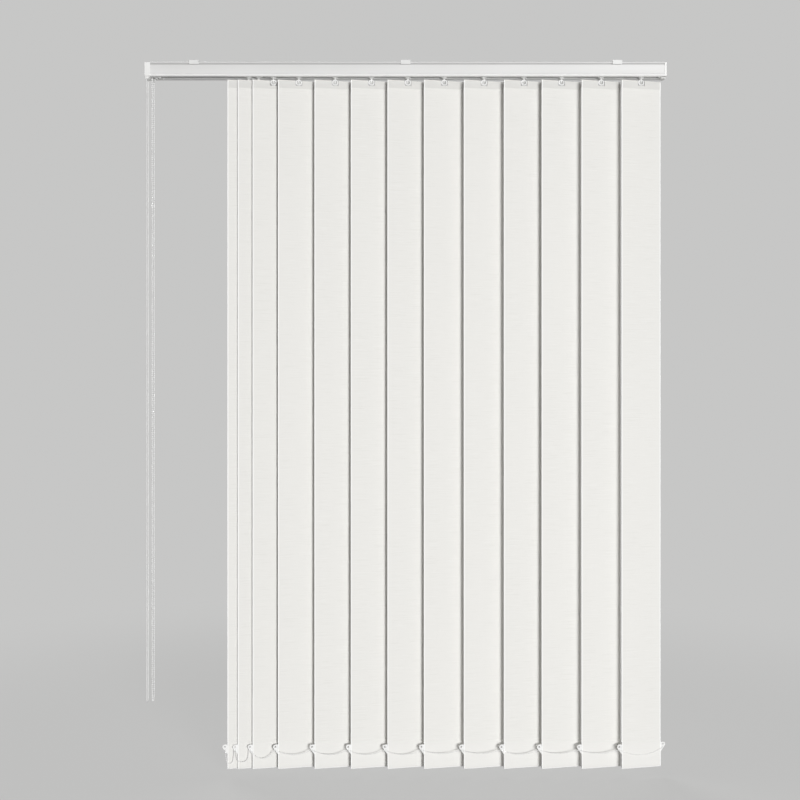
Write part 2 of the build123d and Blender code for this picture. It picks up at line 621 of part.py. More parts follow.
def truck_places():
    """The trucks' middles at rest: closer together where the rail is too short for the pitches."""
    nearest = RAIL_LEFT + PLUG_LENGTH + TRUCK_END_GAP + TRUCK_LENGTH / 2
    share = min(1.0, (LAST_TRUCK_X - nearest) / sum(TRUCK_PITCHES))
    places = [LAST_TRUCK_X]
    for pitch in reversed(TRUCK_PITCHES):
        places.insert(0, places[0] - share * pitch)
    return places


def write(name, solids):
    shape = Compound(children=list(solids)) if isinstance(solids, list) else solids
    export_step(shape, f"parts/{name}.step")


def main():
    os.makedirs("parts", exist_ok=True)
    write("headrail", headrail())
    write("control_housing", control_housing())
    write("return_cap", return_cap())
    write("fixing_clips", [fixing_clip(x) for x in (-CLIP_PITCH, 0.0, CLIP_PITCH)])
    write("tilt_rod", tilt_rod())
    write("chain_wheel", chain_wheel())
    write("draw_cord", draw_cord())
    write("control_chain", control_chain())
    places = truck_places()
    for number, x in enumerate(places, start=1):
        write(f"truck_{number:02d}", truck(number, x))
        turned = Pos(x, 0, 0) * Rot(0, 0, REST_TILT)
        pieces = [louvre_fabric(), stem(), hanger(), bottom_weight()]
        if number == TRUCK_COUNT:
            pieces.append(chain_tail())
        write(f"louvre_{number:02d}", [turned * piece for piece in pieces])
    for number, (x0, x1) in enumerate(zip(places, places[1:]), start=1):
        name = f"front_chain_{number:02d}"
        write(name, chain_span(x0 - EYE_X, x1 - EYE_X, -EYE_Y - LINK_OFFSET, name))
        name = f"back_chain_{number:02d}"
        write(name, chain_span(x0 + EYE_X, x1 + EYE_X, EYE_Y + LINK_OFFSET, name))
    write("front_chain_end", chain_end(places[-1] - EYE_X, -EYE_Y - LINK_OFFSET))
    write("back_chain_end", chain_end(places[-1] + EYE_X, EYE_Y + LINK_OFFSET))


main()
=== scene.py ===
import math

import bmesh
import bpy
from mathutils import Matrix, Vector


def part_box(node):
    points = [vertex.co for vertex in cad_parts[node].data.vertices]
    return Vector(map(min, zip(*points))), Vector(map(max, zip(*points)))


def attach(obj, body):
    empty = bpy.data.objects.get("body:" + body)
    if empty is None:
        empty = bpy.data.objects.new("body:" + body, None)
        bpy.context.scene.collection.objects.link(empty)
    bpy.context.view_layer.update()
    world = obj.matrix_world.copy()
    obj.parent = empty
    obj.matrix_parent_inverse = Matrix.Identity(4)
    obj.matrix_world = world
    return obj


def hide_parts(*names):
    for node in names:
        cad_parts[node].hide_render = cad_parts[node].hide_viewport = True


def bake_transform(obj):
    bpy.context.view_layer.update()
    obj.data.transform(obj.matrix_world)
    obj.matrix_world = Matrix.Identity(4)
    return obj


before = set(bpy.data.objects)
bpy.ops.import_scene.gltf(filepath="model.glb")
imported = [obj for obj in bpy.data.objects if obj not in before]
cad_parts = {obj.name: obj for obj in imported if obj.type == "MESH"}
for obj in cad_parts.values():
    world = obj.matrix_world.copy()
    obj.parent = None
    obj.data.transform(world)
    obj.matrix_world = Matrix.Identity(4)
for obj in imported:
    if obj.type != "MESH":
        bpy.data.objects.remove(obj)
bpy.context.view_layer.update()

# A vertical blind in metres: X along the headrail, the room side -Y, +Z up.
MM = 0.001

# The rail's corners in the frame, and how many louvres hang from it
rail_low, rail_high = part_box("headrail")
LAST_LOUVRE = 13
LOUVRE_NUMBERS = range(1, LAST_LOUVRE + 1)


def axis_x(number):
    """Where the stem of this louvre hangs along the rail."""
    low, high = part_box(f"louvre_{number:02d}")
    return (low.x + high.x) / 2


# Louvre sizes
LOUVRE_WIDTH = 89.0 * MM
LOUVRE_TOP = -38.6 * MM
LOUVRE_BOTTOM = -1496.6 * MM
REST_TILT = math.radians(13.5)
FABRIC = 0.5 * MM
TOP_POCKET = 17.0 * MM
BOTTOM_POCKET = 58.7 * MM
POCKET_TAPER = 1.5 * MM
POCKET_SHOULDER = 5.4 * MM
TOP_SHOULDER = 3.0 * MM
POCKET_GAP = 0.1 * MM
HEM = 3.0 * MM
NOTCH_WIDTH = 15.0 * MM
NOTCH_DEPTH = 10.7 * MM

# Hanger, hook and weight sizes
HANGER_THICKNESS = 1.0 * MM
HANGER_LENGTH = 85.0 * MM
WEIGHT_THICKNESS = 2.0 * MM
WEIGHT_LENGTH = 80.0 * MM
WEIGHT_HEIGHT = 46.0 * MM
WEIGHT_MARGIN = 6.4 * MM
EYE_REACH = 50.0 * MM
EYE_Z = LOUVRE_BOTTOM + 47.2 * MM
EYE_DISC = 5.0 * MM
EYE_HOLE = 1.5 * MM
EYE_FOOT = 16.1 * MM
EYE_THICKNESS = 1.6 * MM

# Chain and cord sizes
CONTROL_BEAD = 3.2 * MM
CONTROL_BEAD_PITCH = 4.48 * MM
SPAN_BEAD = 2.0 * MM
SPAN_BEAD_PITCH = 4.1 * MM
CORD_DIAMETER = 2.1 * MM
LINK_Z = EYE_Z - 6.3 * MM
LINK_END = 1.5 * MM
LINK_OFFSET = 2.2 * MM
EYE_X = EYE_REACH * math.cos(REST_TILT)
EYE_Y = EYE_REACH * math.sin(REST_TILT)


class Number:
    """A number in a node tree. Python's operators on it add Math nodes."""

    def __init__(self, nodes, socket):
        self.nodes = nodes
        self.socket = socket

    def maths(self, operation, *values):
        """One Math node of this and other numbers."""
        node = self.nodes.make("ShaderNodeMath", {"operation": operation}, dict(enumerate(values)))
        return Number(self.nodes, node.outputs[0])

    def __add__(self, other):
        return self.maths("ADD", self, other)

    def __radd__(self, other):
        return self.maths("ADD", other, self)

    def __sub__(self, other):
        return self.maths("SUBTRACT", self, other)

    def __rsub__(self, other):
        return self.maths("SUBTRACT", other, self)

    def __mul__(self, other):
        return self.maths("MULTIPLY", self, other)

    def __rmul__(self, other):
        return self.maths("MULTIPLY", other, self)

    def __truediv__(self, other):
        return self.maths("DIVIDE", self, other)

    def __abs__(self):
        return self.maths("ABSOLUTE", self)

    def __lt__(self, other):
        return self.maths("LESS_THAN", self, other)

    def __gt__(self, other):
        return self.maths("GREATER_THAN", self, other)

    def floor(self):
        return self.maths("FLOOR", self)

    def sign(self):
        return self.maths("SIGN", self)

    def sine(self):
        return self.maths("SINE", self)

    def least(self, other):
        return self.maths("MINIMUM", self, other)

    def most(self, other):
        return self.maths("MAXIMUM", self, other)

    def ramp(self, low, high):
        """0 at low, 1 at high, smooth between."""
        node = self.nodes.make(
            "ShaderNodeMapRange",
            {"interpolation_type": "SMOOTHSTEP"},
            {"Value": self, "From Min": low, "From Max": high},
        )
        return Number(self.nodes, node.outputs[0])


class Nodes:
    """Makes and links the nodes of one tree."""

    def __init__(self, tree):
        self.tree = tree
        tree.nodes.clear()

    def make(self, kind, settings=None, values=None):
        """A node of a kind, with its settings, then the values or links of its sockets."""
        node = self.tree.nodes.new(kind)
        for name, value in (settings or {}).items():
            setattr(node, name, value)
        for name, value in (values or {}).items():
            self.feed(node.inputs[name], value)
        return node

    def feed(self, socket, value):
        if isinstance(value, Number):
            self.tree.links.new(value.socket, socket)
        elif isinstance(value, bpy.types.NodeSocket):
            self.tree.links.new(value, socket)
        else:
            socket.default_value = value

    def number(self, socket):
        return Number(self, socket)

    def parts(self, vector):
        """The X, Y and Z of a vector as numbers."""
        node = self.make("ShaderNodeSeparateXYZ", values={0: vector})
        return [Number(self, output) for output in node.outputs]

    def vector(self, x, y, z):
        return self.make("ShaderNodeCombineXYZ", values={0: x, 1: y, 2: z}).outputs[0]

    def noise(self, vector, scale, detail):
        values = {"Vector": vector, "Scale": scale, "Detail": detail}
        return Number(self, self.make("ShaderNodeTexNoise", values=values).outputs[0])

    def mix(self, factor, first, second):
        """A colour between two."""
        node = self.make("ShaderNodeMix", {"data_type": "RGBA"}, {0: factor, 6: first, 7: second})
        return node.outputs[2]


def rgba(red, green, blue):
    return (red, green, blue, 1.0)


def new_material(name):
    """A material with an empty node tree, and the maker of its nodes."""
    material = bpy.data.materials.new(name)
    material.use_nodes = True
    return material, Nodes(material.node_tree)


# The studio


CAMERA_LENS = 56.17
CAMERA_PLACE = (-11.9 * MM, -2.65, -716.2 * MM)


def make_camera():
    data = bpy.data.cameras.new("camera")
    data.lens = CAMERA_LENS
    data.sensor_width = 36.0
    data.clip_end = 60.0
    camera = bpy.data.objects.new("camera", data)
    camera.location = CAMERA_PLACE
    camera.rotation_euler = (math.radians(90), 0, 0)
    bpy.context.scene.collection.objects.link(camera)
    bpy.context.scene.camera = camera


BACKDROP = rgba(0.57, 0.57, 0.565)
FLOOR_Z = -1.515
FLOOR_RADIUS = 7.0
FADE_START = 0.9
FADE_END = 2.4
FLOOR_GLOW = 0.8
GLOW = rgba(0.26, 0.26, 0.258)
FLOOR_LIT = rgba(0.62, 0.62, 0.61)
FLOOR_SEEN = rgba(0.80, 0.80, 0.79)
SKY_ABOVE = 0.12
SKY_BELOW = 0.13
KEY_POWER = 1.22
KEY_SIDE = math.radians(22)
KEY_HEIGHT = math.radians(11)
KEY_SPREAD = math.radians(15)
REAR_POWER = 1.05
REAR_SIDE = math.radians(205)
REAR_HEIGHT = math.radians(42)
REAR_SPREAD = math.radians(30)
LOW_LAMP = (1.5, -5.4, -1.15)
LOW_LAMP_SIZE = 1.0
LOW_LAMP_POWER = 157.0
LOW_LAMP_AIM = Vector((0.1, 0, -0.2))


def make_world():
    """Soft light, nearly even all round, and a plain pale backdrop for the camera."""
    world = bpy.data.worlds.new("studio")
    bpy.context.scene.world = world
    world.use_nodes = True
    nodes = Nodes(world.node_tree)
    direction = nodes.make("ShaderNodeTexCoord").outputs["Generated"]
    height = nodes.parts(direction)[2]
    level = SKY_BELOW + (SKY_ABOVE - SKY_BELOW) * height.ramp(-0.5, 0.5)
    light = nodes.make("ShaderNodeBackground", values={"Color": rgba(1, 1, 1), "Strength": level})
    backdrop = nodes.make("ShaderNodeBackground", values={"Color": BACKDROP})
    path = nodes.make("ShaderNodeLightPath")
    seen = nodes.number(path.outputs["Is Camera Ray"]) + nodes.number(path.outputs["Is Glossy Ray"])
    seen = (seen + nodes.number(path.outputs["Is Transmission Ray"])).least(1.0)
    both = nodes.make(
        "ShaderNodeMixShader",
        values={0: seen, 1: light.outputs[0], 2: backdrop.outputs[0]},
    )
    nodes.make("ShaderNodeOutputWorld", values={"Surface": both.outputs[0]})


def make_wide_lamp(name, power, side, height, spread):
    """An even, far lamp. Its side is the angle from the front, towards the right."""
    data = bpy.data.lights.new(name, "SUN")
    data.energy = power
    data.angle = spread
    lamp = bpy.data.objects.new(name, data)
    level = math.cos(height)
    towards = Vector((math.sin(side) * level, -math.cos(side) * level, math.sin(height)))
    lamp.rotation_euler = towards.to_track_quat("Z", "Y").to_euler()
    bpy.context.scene.collection.objects.link(lamp)


def make_low_lamp():
    """A soft lamp low at the right, which reaches under the rail."""
    data = bpy.data.lights.new("low_lamp", "AREA")
    data.energy = LOW_LAMP_POWER
    data.size = LOW_LAMP_SIZE
    lamp = bpy.data.objects.new("low_lamp", data)
    lamp.location = LOW_LAMP
    lamp.rotation_euler = (Vector(LOW_LAMP) - LOW_LAMP_AIM).to_track_quat("Z", "Y").to_euler()
    bpy.context.scene.collection.objects.link(lamp)


def make_floor():
    """A pale floor that glows more and more like the backdrop, so that no line shows where it ends."""
    mesh = bpy.data.meshes.new("floor")
    shape = bmesh.new()
    bmesh.ops.create_circle(shape, cap_ends=True, radius=FLOOR_RADIUS, segments=96)
    shape.to_mesh(mesh)
    shape.free()
    mesh.transform(Matrix.Translation((0, 0, FLOOR_Z)))
    floor = bpy.data.objects.new("floor", mesh)
    bpy.context.scene.collection.objects.link(floor)
    material, nodes = new_material("pale_floor")
    place = nodes.make("ShaderNodeTexCoord").outputs["Object"]
    flat = nodes.make("ShaderNodeVectorMath", {"operation": "MULTIPLY"}, {0: place, 1: (1, 1, 0)})
    length = nodes.make("ShaderNodeVectorMath", {"operation": "LENGTH"}, {0: flat.outputs[0]})
    far = nodes.number(length.outputs["Value"]).ramp(FADE_START, FADE_END)
    seen = nodes.number(nodes.make("ShaderNodeLightPath").outputs["Is Camera Ray"])
    colour = nodes.mix(seen, FLOOR_LIT, FLOOR_SEEN)
    plain = nodes.make("ShaderNodeBsdfDiffuse", values={"Color": colour})
    glow = nodes.mix(seen, GLOW, BACKDROP)
    glowing = nodes.make("ShaderNodeEmission", values={"Color": glow})
    share = FLOOR_GLOW + far * (1.0 - FLOOR_GLOW)
    both = nodes.make(
        "ShaderNodeMixShader",
        values={0: share, 1: plain.outputs[0], 2: glowing.outputs[0]},
    )
    nodes.make("ShaderNodeOutputMaterial", values={"Surface": both.outputs[0]})
    mesh.materials.append(material)


make_camera()
make_world()
make_wide_lamp("key", KEY_POWER, KEY_SIDE, KEY_HEIGHT, KEY_SPREAD)
make_wide_lamp("rear", REAR_POWER, REAR_SIDE, REAR_HEIGHT, REAR_SPREAD)
make_low_lamp()
make_floor()


# Materials


def finish(nodes, base, roughness, bump, bump_depth, metallic=0.0, coat=0.0):
    """Ends a material: one shader with its colour, roughness and bump."""
    bumped = nodes.make("ShaderNodeBump", values={"Distance": bump_depth, "Height": bump})
    values = {
        "Base Color": base,
        "Roughness": roughness,
        "Metallic": metallic,
        "Coat Weight": coat,
        "Normal": bumped.outputs[0],
    }
    shader = nodes.make("ShaderNodeBsdfPrincipled", values=values)
    nodes.make("ShaderNodeOutputMaterial", values={"Surface": shader.outputs[0]})


CLOTH_GROUND = rgba(0.848, 0.84, 0.81)
CLOTH_SLUB = rgba(0.885, 0.878, 0.85)
CLOTH_THIN = rgba(0.79, 0.783, 0.748)
CLOTH_CLOUD = rgba(0.858, 0.848, 0.818)
CLOTH_LOW_POCKET = rgba(0.87, 0.863, 0.836)
# Painted shade over the top pocket, below the rail
CLOTH_TOP_POCKET_SHADE = rgba(0.735, 0.728, 0.704)
# Painted highlight along the cut edges and the hem
CLOTH_EDGE_HIGHLIGHT = rgba(0.965, 0.963, 0.95)
WEFT_PITCH = 0.8 * MM
WARP_PITCH = 0.6 * MM


def slub_cloth():
    """Off-white cloth: crosswise slubs in a fine plain weave, with the cut edges sealed smooth and a
    painted highlight along them and the hem, and painted shade over the top pocket.
    """
    material, nodes = new_material("slub_cloth")
    lay = nodes.make("ShaderNodeUVMap", {"uv_map": "UVMap"}).outputs[0]
    across, down, _ = nodes.parts(lay)
    slub_field = nodes.noise(nodes.vector(across * 24.0, down * 460.0, 0.0), 1.0, 1.0)
    thick = slub_field.ramp(0.58, 0.72)
    thin = 1.0 - slub_field.ramp(0.28, 0.42)
    broad = nodes.noise(nodes.vector(across * 9.0, down * 3.0, 4.0), 1.0, 3.0)
    weft = (down * (2 * math.pi / WEFT_PITCH)).sine()
    warp = (across * (2 * math.pi / WARP_PITCH)).sine()
    side = across.least(LOUVRE_WIDTH - across)
    height_up = nodes.parts(nodes.make("ShaderNodeTexCoord").outputs["Object"])[2]
    hem = 1.0 - height_up.ramp(LOUVRE_BOTTOM + 1.6 * MM, LOUVRE_BOTTOM + 2.6 * MM)
    # Painted highlight: a lighter band along the cut edges and the hem; the same mask also makes them
    # smoother and flatter.
    sealed_edge_and_highlight = (1.0 - side.ramp(1.6 * MM, 2.6 * MM)).most(hem)
    # Painted shade: the top pocket, below the rail, is painted darker down to its seam.
    seam = LOUVRE_TOP - TOP_POCKET
    top_pocket_shade = height_up.ramp(seam - 0.5 * MM, seam + 0.5 * MM)
    top_pocket_shade = top_pocket_shade * (1.0 - height_up.ramp(LOUVRE_TOP - 2.4 * MM, LOUVRE_TOP - 1.2 * MM))
    seam = LOUVRE_BOTTOM + BOTTOM_POCKET
    low_pocket = 1.0 - height_up.ramp(seam - 2.0 * MM, seam)
    colour = nodes.mix(thick * 0.6, CLOTH_GROUND, CLOTH_SLUB)
    colour = nodes.mix(thin * 0.5, colour, CLOTH_THIN)
    colour = nodes.mix(broad.ramp(0.35, 0.7) * 0.5, colour, CLOTH_CLOUD)
    colour = nodes.mix(low_pocket * 0.5, colour, CLOTH_LOW_POCKET)
    # Painted shade over the top pocket
    colour = nodes.mix(top_pocket_shade * 0.9, colour, CLOTH_TOP_POCKET_SHADE)
    # Painted highlight along the sealed edges and the hem
    colour = nodes.mix(sealed_edge_and_highlight, colour, CLOTH_EDGE_HIGHLIGHT)
    height = (weft * 0.3 + warp * 0.2 + thick * 0.7 - thin * 0.5) * (1.0 - sealed_edge_and_highlight * 0.8)
    finish(nodes, colour, 0.86 - sealed_edge_and_highlight * 0.3, height, 0.08 * MM)
    return material


PAINT_DARK = rgba(0.755, 0.752, 0.744)
PAINT_LIGHT = rgba(0.78, 0.777, 0.769)
PAINT_LINE = rgba(0.73, 0.727, 0.72)
# Painted light: the front face lighter towards its bottom
PAINT_FACE_LIGHT = rgba(0.86, 0.857, 0.848)
# Painted shade in the clip groove
PAINT_GROOVE_SHADE = rgba(0.56, 0.558, 0.552)
# Painted highlight on the low bead
PAINT_BEAD_HIGHLIGHT = rgba(0.97, 0.968, 0.96)
GROOVE_START = 2.4 * MM
GROOVE_END = 7.2 * MM
LOW_BEAD = 5.0 * MM


def satin_paint():
    """White powder coat over faint lengthwise lines, with painted shade in the clip groove, a painted
    highlight on the low bead and the front face painted lighter towards its bottom.
    """
    material, nodes = new_material("satin_paint")
    place = nodes.make("ShaderNodeTexCoord").outputs["Object"]
    x, y, z = nodes.parts(place)
    lines = nodes.noise(nodes.vector(x * 2.0, y * 900.0, z * 900.0), 1.0, 2.0)
    skin = nodes.noise(place, 1400.0, 2.0)
    tone = nodes.noise(place, 7.0, 2.0)
    colour = nodes.mix(tone.ramp(0.3, 0.7), PAINT_DARK, PAINT_LIGHT)
    colour = nodes.mix(lines.ramp(0.5, 0.9) * 0.4, colour, PAINT_LINE)
    drop = rail_high.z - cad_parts["headrail"].matrix_world.translation.z - z
    height = rail_high.z - rail_low.z
    # Painted shade in the clip groove.
    groove_shade = drop.ramp(GROOVE_START, GROOVE_START + 0.6 * MM)
    groove_shade = groove_shade * (1.0 - drop.ramp(GROOVE_END - 0.8 * MM, GROOVE_END))
    # Painted light: the front face is painted lighter towards its bottom.
    side = drop.ramp(8.0 * MM, height - LOW_BEAD - 1.0 * MM)
    # Painted highlight on the low bead.
    bead = drop.ramp(height - LOW_BEAD, height - LOW_BEAD + 2.0 * MM)
    # Painted light on the lower front face
    colour = nodes.mix(side * 0.5, colour, PAINT_FACE_LIGHT)
    # Painted shade in the clip groove
    colour = nodes.mix(groove_shade, colour, PAINT_GROOVE_SHADE)
    # Painted highlight on the low bead
    colour = nodes.mix(bead * 0.9, colour, PAINT_BEAD_HIGHLIGHT)
    finish(nodes, colour, 0.30 + tone * 0.12, skin * 0.6 + lines * 0.7, 0.03 * MM)
    return material


def moulded_plastic(name, light, dark, roughness):
    """Moulded plastic: a slightly cloudy colour and a fine spark grain."""
    material, nodes = new_material(name)
    place = nodes.make("ShaderNodeTexCoord").outputs["Object"]
    cloud = nodes.noise(place, 60.0, 3.0)
    spark = nodes.noise(place, 900.0, 2.0)
    colour = nodes.mix(cloud.ramp(0.3, 0.7), dark, light)
    finish(nodes, colour, roughness + (cloud - 0.5) * 0.12, spark, 0.03 * MM)
    return material


BEAD_DARK = rgba(0.90, 0.898, 0.89)
BEAD_LIGHT = rgba(0.95, 0.948, 0.94)


def bead_plastic():
    """Glossy white beads on a thread: each bead a little different in tone."""
    material, nodes = new_material("bead_plastic")
    place = nodes.make("ShaderNodeTexCoord").outputs["Object"]
    tone = nodes.noise(place, 210.0, 1.0)
    colour = nodes.mix(tone.ramp(0.35, 0.65), BEAD_DARK, BEAD_LIGHT)
    finish(nodes, colour, 0.22 + tone * 0.12, tone, 0.02 * MM, coat=0.3)
    return material


BRAID_DARK = rgba(0.86, 0.858, 0.85)
BRAID_LIGHT = rgba(0.97, 0.968, 0.96)
BRAID_FUZZ = rgba(0.90, 0.898, 0.89)
BRAID_TURNS = 4
BRAID_PITCH = 2.4 * MM


def braided_cord():
    """White braid: two crossing sets of strands round the cord, from its own unwrap."""
    material, nodes = new_material("braided_cord")
    lay = nodes.make("ShaderNodeUVMap", {"uv_map": "UVMap"}).outputs[0]
    around, along, _ = nodes.parts(lay)
    turn = around * (2 * math.pi * BRAID_TURNS)
    rise = along * (2 * math.pi / BRAID_PITCH)
    weave = (turn + rise).sine() * (turn - rise).sine()
    fuzz = nodes.noise(nodes.vector(around * 9.0, along * 900.0, 0.0), 1.0, 2.0)
    colour = nodes.mix(weave.ramp(-0.6, 0.5), BRAID_DARK, BRAID_LIGHT)
    colour = nodes.mix(fuzz.ramp(0.4, 0.8) * 0.3, colour, BRAID_FUZZ)
    finish(nodes, colour, 0.8, weave + fuzz * 0.3, 0.12 * MM)
    return material


METAL_DARK = rgba(0.66, 0.665, 0.675)
METAL_LIGHT = rgba(0.78, 0.785, 0.79)


def drawn_aluminium():
    """Mill-finish aluminium rod, with lines along it."""
    material, nodes = new_material("drawn_aluminium")
    place = nodes.make("ShaderNodeTexCoord").outputs["Object"]
    x, y, z = nodes.parts(place)
    lines = nodes.noise(nodes.vector(x * 4.0, y * 1500.0, z * 1500.0), 1.0, 3.0)
    colour = nodes.mix(lines.ramp(0.3, 0.7), METAL_DARK, METAL_LIGHT)
    finish(nodes, colour, 0.28 + lines * 0.2, lines, 0.02 * MM, metallic=1.0)
    return material


CLOTH = slub_cloth()
PAINT = satin_paint()
HOUSING_LIGHT = rgba(0.95, 0.948, 0.935)
HOUSING_DARK = rgba(0.925, 0.923, 0.91)
HOUSING_PLASTIC = moulded_plastic("housing_plastic", HOUSING_LIGHT, HOUSING_DARK, 0.36)
CLIP_PLASTIC = moulded_plastic("clip_plastic", rgba(0.85, 0.85, 0.84), rgba(0.80, 0.80, 0.79), 0.42)
TRUCK_PLASTIC = moulded_plastic("truck_plastic", rgba(0.84, 0.84, 0.825), rgba(0.79, 0.79, 0.775), 0.45)
HOOK_PLASTIC = moulded_plastic("hook_plastic", rgba(0.96, 0.96, 0.95), rgba(0.94, 0.94, 0.93), 0.34)
# Painted shade: the hanger is made dark grey so that its plate behind the hook's ring reads as a
# shadowed hole.
HANGER_SHADE_GREY = moulded_plastic("hanger_shade_grey", rgba(0.50, 0.50, 0.49), rgba(0.45, 0.45, 0.44), 0.30)
WEIGHT_PLASTIC = moulded_plastic("weight_plastic", rgba(0.90, 0.90, 0.89), rgba(0.86, 0.86, 0.85), 0.40)
BEADS = bead_plastic()
BRAID = braided_cord()
ALUMINIUM = drawn_aluminium()


# Cords, chains and their routes


def route_line(name, points):
    """The points along a smooth line whose control points are the route's."""
    data = bpy.data.curves.new(name, "CURVE")
    data.dimensions = "3D"
    data.resolution_u = 20
    spline = data.splines.new("NURBS")
    spline.points.add(len(points) - 1)
    for point, place in zip(spline.points, points):
        point.co = (*place, 1.0)
    spline.order_u = 3
    spline.use_endpoint_u = True
    holder = bpy.data.objects.new(name, data)
    line = bpy.data.meshes.new_from_object(holder)
    path = [vertex.co.copy() for vertex in line.vertices]
    bpy.data.objects.remove(holder)
    bpy.data.curves.remove(data)
    bpy.data.meshes.remove(line)
    return path


def line_mesh(name, path):
    mesh = bpy.data.meshes.new(name)
    mesh.from_pydata(path, [(i, i + 1) for i in range(len(path) - 1)], [])
    return mesh


def new_tree(name, inputs):
    """A geometry tree with named inputs, and its group input and output nodes."""
    tree = bpy.data.node_groups.new(name, "GeometryNodeTree")
    tree.interface.new_socket("Geometry", in_out="OUTPUT", socket_type="NodeSocketGeometry")
    tree.interface.new_socket("Geometry", in_out="INPUT", socket_type="NodeSocketGeometry")
    for label, kind in inputs:
        tree.interface.new_socket(label, in_out="INPUT", socket_type="NodeSocket" + kind)
    nodes = Nodes(tree)
    start = nodes.make("NodeGroupInput").outputs
    return tree, nodes, start


def end_tree(nodes, geometry, material):
    """Ends a geometry tree: one smooth mesh of its geometry, in its material."""
    real = nodes.make("GeometryNodeRealizeInstances", values={0: geometry})
    smooth = nodes.make("GeometryNodeSetShadeSmooth", values={0: real.outputs[0]})
    painted = nodes.make(
        "GeometryNodeSetMaterial",
        values={"Geometry": smooth.outputs[0], "Material": material},
    )
    nodes.make("NodeGroupOutput", values={0: painted.outputs[0]})


def bead_chain_tree():
    """Beads at an even pitch on a thread along a line."""
    tree, nodes, start = new_tree(
        "bead_chain",
        [
            ("Bead radius", "Float"),
            ("Pitch", "Float"),
            ("Thread radius", "Float"),
            ("Material", "Material"),
        ],
    )
    line = nodes.make("GeometryNodeMeshToCurve", values={0: start["Geometry"]}).outputs[0]
    even = nodes.make(
        "GeometryNodeResampleCurve",
        {"mode": "LENGTH"},
        {"Curve": line, "Length": start["Pitch"]},
    ).outputs[0]
    bead = nodes.make(
        "GeometryNodeMeshUVSphere",
        values={"Segments": 10, "Rings": 7, "Radius": start["Bead radius"]},
    ).outputs[0]
    beads = nodes.make(
        "GeometryNodeInstanceOnPoints",
        values={"Points": even, "Instance": bead},
    ).outputs[0]
    ring = nodes.make(
        "GeometryNodeCurvePrimitiveCircle",
        values={"Resolution": 6, "Radius": start["Thread radius"]},
    ).outputs[0]
    thread = nodes.make(
        "GeometryNodeCurveToMesh",
        values={"Curve": even, "Profile Curve": ring, "Fill Caps": True},
    ).outputs[0]
    join = nodes.make("GeometryNodeJoinGeometry")
    for geometry in (beads, thread):
        nodes.feed(join.inputs[0], geometry)
    end_tree(nodes, join.outputs[0], start["Material"])
    return tree


def grown(name, base, tree, sizes, thickness=None):
    """The plain piece that a tree makes of a base mesh."""
    holder = bpy.data.objects.new(name + "_base", base)
    bpy.context.scene.collection.objects.link(holder)
    modifier = holder.modifiers.new("shape", "NODES")
    modifier.node_group = tree
    for item in tree.interface.items_tree:
        if item.in_out == "INPUT" and item.name in sizes:
            modifier[item.identifier] = sizes[item.name]
    if thickness:
        solid = holder.modifiers.new("thickness", "SOLIDIFY")
        solid.thickness = thickness
        solid.offset = 0.0
        solid.use_even_offset = True
    ready = holder.evaluated_get(bpy.context.evaluated_depsgraph_get())
    mesh = bpy.data.meshes.new_from_object(ready)
    mesh.name = name
    bpy.data.objects.remove(holder)
    bpy.data.meshes.remove(base)
    return new_piece(name, mesh)


def new_piece(name, mesh, material=None):
    if material is not None:
        mesh.materials.clear()
        mesh.materials.append(material)
    piece = bpy.data.objects.new(name, mesh)
    bpy.context.scene.collection.objects.link(piece)
    return piece


BEAD_CHAIN = bead_chain_tree()
THREAD_SHARE = 0.17


def bead_chain(name, path, bead, pitch):
    """A bead chain along a path. Its thread's radius is a share of the bead's diameter."""
    sizes = {
        "Bead radius": bead / 2,
        "Pitch": pitch,
        "Thread radius": bead * THREAD_SHARE,
        "Material": BEADS,
    }
    return grown(name, line_mesh(name, path), BEAD_CHAIN, sizes)


def angles(count):
    """Even angles, once round."""
    return [2 * math.pi * step / count for step in range(count)]


def tube_mesh(name, path, radius, sides=10):
    """A round tube along a path, with turns round it and metres along it as its unwrap."""
    shape = bmesh.new()
    lay = shape.loops.layers.uv.new("UVMap")
    rings = []
    runs = [0.0]
    side = Vector((1, 0, 0))
    for index, place in enumerate(path):
        ahead = path[min(index + 1, len(path) - 1)] - path[max(index - 1, 0)]
        ahead.normalize()
        side = (side - ahead * side.dot(ahead)).normalized()
        up = ahead.cross(side)
        outward = [side * math.cos(angle) + up * math.sin(angle) for angle in angles(sides)]
        rings.append([shape.verts.new(place + way * radius) for way in outward])
        if index:
            runs.append(runs[-1] + (place - path[index - 1]).length)
    for index in range(len(rings) - 1):
        for step in range(sides):
            after = (step + 1) % sides
            corners = [
                (rings[index][step], step, index),
                (rings[index][after], step + 1, index),
                (rings[index + 1][after], step + 1, index + 1),
                (rings[index + 1][step], step, index + 1),
            ]
            face = shape.faces.new([vertex for vertex, _, _ in corners])
            face.smooth = True
            for loop, (_, turn, row) in zip(face.loops, corners):
                loop[lay].uv = (turn / sides, runs[row])
    shape.faces.new(list(reversed(rings[0])))
    shape.faces.new(rings[-1])
    mesh = bpy.data.meshes.new(name)
    shape.to_mesh(mesh)
    shape.free()
    return mesh


def filled_path(path, step):
    """The path with long stretches divided, so that a tube's rings lie evenly."""
    full = [path[0]]
    for before, after in zip(path, path[1:]):
        count = max(1, math.ceil((after - before).length / step))
        full += [before.lerp(after, i / count) for i in range(1, count + 1)]
    return full


# The draw cord: a hanging loop at the left end, and two strands inside the rail
CORD_X = -547.0 * MM
CORD_FRONT_Y = -12.5 * MM
CORD_BACK_Y = 2.5 * MM
CORD_OUTLET = -37.9 * MM
LOOP_Z = -1355.0 * MM
ABOVE_CORD_U = LOOP_Z + (CORD_BACK_Y - CORD_FRONT_Y)
CORD_RING_STEP = 4.0 * MM
STRANDS = {"front": -9.5 * MM, "back": -5.5 * MM}
STRAND_Z = -16.0 * MM
STRAND_STOPS = (-518.0 * MM, 10.0 * MM, 538.2 * MM)

